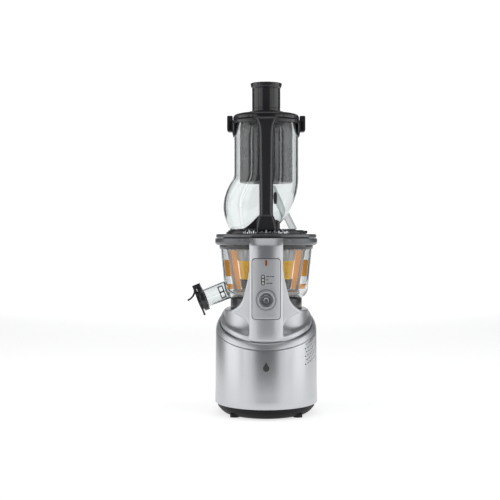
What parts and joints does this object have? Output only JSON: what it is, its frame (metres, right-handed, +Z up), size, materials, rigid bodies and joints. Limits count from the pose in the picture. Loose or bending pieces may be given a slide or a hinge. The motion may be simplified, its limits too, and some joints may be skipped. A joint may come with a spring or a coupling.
{
  "type": "slow juicer",
  "caption": "Vertical slow juicer: oval motor base with a control tower, clear bowl with juice tap and pulp outlet, and a wide hopper with two nested pushers",
  "frame": {"origin": "on the counter under the bowl's axis, at the middle of the rubber ring foot", "axes": "+Z up, the control tower faces -Y, the juice spout points to -X"},
  "size_m": [0.1747, 0.1804, 0.4402],
  "materials": {
    "black_rubber": "matt black rubber",
    "black_plastic": "fine grained black plastic",
    "brushed_metal": "satin silver, brushed round the base",
    "silver_shell": "satin silver paint",
    "silver_fascia": "satin silver paint",
    "button_metal": "spun aluminium",
    "amber_lens": "clear amber",
    "window_plastic": "smoked gloss",
    "light_plastic": "milky",
    "board": "green circuit board",
    "steel": "turned steel",
    "motor_iron": "bare iron",
    "case_metal": "die cast",
    "gear_plastic": "natural acetal",
    "bronze": "sintered bronze",
    "fan_plastic": "black plastic",
    "clear_plastic": "clear, faintly grey-green at its edges",
    "smoked_plastic": "smoked grey, satin",
    "dark_plastic": "satin charcoal",
    "amber_silicone": "amber silicone",
    "grey_plastic": "warm grey",
    "gold_mesh": "golden, finely perforated"
  },
  "bodies": {
    "base": {"rubber_feet": "black_rubber", "foot_ring": "black_rubber", "base_tray": "black_plastic", "tray_screws": "steel", "brushed_band": "brushed_metal", "bevel_rim": "silver_shell", "upper_shell": "silver_shell", "control_fascia": "silver_fascia", "mode_lens": "amber_lens", "light_window": "window_plastic", "light_guides": "light_plastic", "button_bezel": "silver_fascia", "button_spring": "steel", "control_board": "board", "power_board": "board", "band_badge": "button_metal", "cord_inlet": "black_rubber", "motor_can": "motor_iron", "gear_case": "case_metal", "gear_cover": "case_metal", "gear_screws": "steel", "gear_pin": "steel", "shaft_bush": "bronze", "shaft_seal": "black_rubber"},
    "button": {"start_button": "button_metal"},
    "rotor": {"motor_rotor": "steel", "cooling_fan": "fan_plastic"},
    "reduction": {"double_gear": "gear_plastic"},
    "drive": {"output_gear": "gear_plastic", "drive_shaft": "steel"},
    "bowl": {"bowl": "clear_plastic", "bowl_neck": "dark_plastic", "bowl_collar": "smoked_plastic", "bowl_seal": "black_rubber", "spout_collar": "dark_plastic", "strainer_frame": "grey_plastic", "strainer_mesh": "gold_mesh", "idler_pin": "steel"},
    "tap": {"spout_tap": "dark_plastic", "tap_seal": "amber_silicone"},
    "gate": {"pulp_gate": "dark_plastic", "pulp_plug": "amber_silicone"},
    "screw": {"auger": "dark_plastic", "auger_gear": "gear_plastic"},
    "idler": {"idler_gear": "gear_plastic"},
    "wiper": {"wiper_frame": "grey_plastic", "wiper_blades": "amber_silicone", "wiper_gear": "gear_plastic"},
    "lid_seal": {"lid_gasket": "black_rubber"},
    "hopper": {"lid_flange": "smoked_plastic", "hopper_plate": "dark_plastic", "hopper_shell": "clear_plastic", "hopper_brace": "clear_plastic", "chute_collar": "dark_plastic", "handle_bar": "dark_plastic", "handle_screws": "steel"},
    "wide_pusher": {"large_pusher": "dark_plastic", "pusher_cover": "dark_plastic"},
    "slim_pusher": {"small_pusher": "dark_plastic", "small_pusher_cap": "dark_plastic"}
  },
  "joints": [
    {"name": "button_press", "type": "slide", "parent": "base", "child": "button", "axis": [0, 1, 0], "range_m": [0, 0.0016], "stiffness_N_per_m": 400, "springref_m": -0.001, "deforming": ["button_spring"]},
    {"name": "drive_spin", "type": "hinge", "parent": "base", "child": "drive", "pos_m": [0, 0, 0.12], "axis": [0, 0, 1], "continuous": true},
    {"name": "reduction_spin", "type": "hinge", "parent": "base", "child": "reduction", "pos_m": [0, 0.045, 0.104], "axis": [0, 0, 1], "continuous": true},
    {"name": "rotor_spin", "type": "hinge", "parent": "base", "child": "rotor", "pos_m": [0, 0.009, 0.06], "axis": [0, 0, 1], "continuous": true},
    {"name": "bowl_lift", "type": "slide", "parent": "base", "child": "bowl", "axis": [0, 0, 1], "range_m": [0, 0.11]},
    {"name": "tap_flap", "type": "hinge", "parent": "bowl", "child": "tap", "pos_m": [-0.09552, 0, 0.16639], "axis": [0, 1, 0], "range_deg": [0, 80]},
    {"name": "pulp_flap", "type": "hinge", "parent": "bowl", "child": "gate", "pos_m": [0, 0.0891, 0.1548], "axis": [1, 0, 0], "range_deg": [0, 60]},
    {"name": "screw_spin", "type": "hinge", "parent": "bowl", "child": "screw", "pos_m": [0, 0, 0.19], "axis": [0, 0, 1], "continuous": true},
    {"name": "idler_spin", "type": "hinge", "parent": "bowl", "child": "idler", "pos_m": [0, -0.02, 0.159], "axis": [0, 0, 1], "continuous": true},
    {"name": "wiper_spin", "type": "hinge", "parent": "bowl", "child": "wiper", "pos_m": [0, 0, 0.18], "axis": [0, 0, 1], "continuous": true},
    {"name": "hopper_lift", "type": "slide", "parent": "bowl", "child": "lid_seal", "axis": [0, 0, 1], "range_m": [0, 0.05]},
    {"name": "hopper_twist", "type": "hinge", "parent": "lid_seal", "child": "hopper", "pos_m": [0, 0, 0.24], "axis": [0, 0, 1], "range_deg": [0, 30]},
    {"name": "wide_pusher_lift", "type": "slide", "parent": "hopper", "child": "wide_pusher", "axis": [0, 0, 1], "range_m": [0, 0.095]},
    {"name": "slim_pusher_lift", "type": "slide", "parent": "wide_pusher", "child": "slim_pusher", "axis": [0, 0, 1], "range_m": [0, 0.095]}
  ],
  "couplings": [
    {"joint": "reduction_spin", "follows": "drive_spin", "ratio": -3},
    {"joint": "rotor_spin", "follows": "drive_spin", "ratio": 15},
    {"joint": "screw_spin", "follows": "drive_spin", "ratio": 1},
    {"joint": "idler_spin", "follows": "drive_spin", "ratio": -1.5},
    {"joint": "wiper_spin", "follows": "drive_spin", "ratio": -0.42857}
  ]
}
